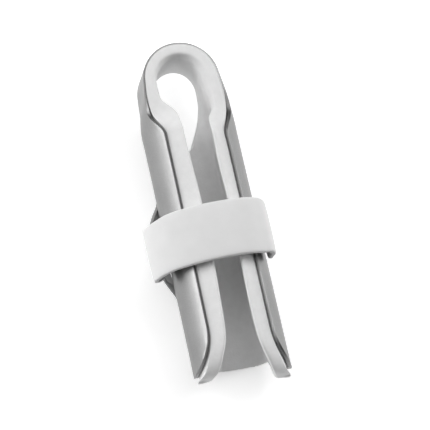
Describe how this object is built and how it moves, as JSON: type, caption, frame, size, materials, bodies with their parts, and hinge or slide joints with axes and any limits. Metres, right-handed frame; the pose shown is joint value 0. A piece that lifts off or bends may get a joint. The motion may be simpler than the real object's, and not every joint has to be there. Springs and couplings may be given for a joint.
{
  "type": "finger splint",
  "caption": "Bent sheet metal finger splint with a fingertip loop, side walls joined by a back wall, a white foam lining and a strap over the slit.",
  "frame": {"origin": "middle of the foot of the whole splint's box, on the floor it rests on", "axes": "+Y runs along the splint toward the fingertip loop, +Z is the open side with the slit, -X is the wall that carries the strap bridge"},
  "size_m": [0.03, 0.0878, 0.0224],
  "materials": {
    "shell_metal": "satin, bare sheet",
    "lining_foam": "matte closed-cell foam with fine pores",
    "strap_foam_tape": "matte soft tape"
  },
  "bodies": {
    "root": {"shell": "shell_metal", "foam_lining": "lining_foam", "strap": "strap_foam_tape"}
  },
  "joints": []
}
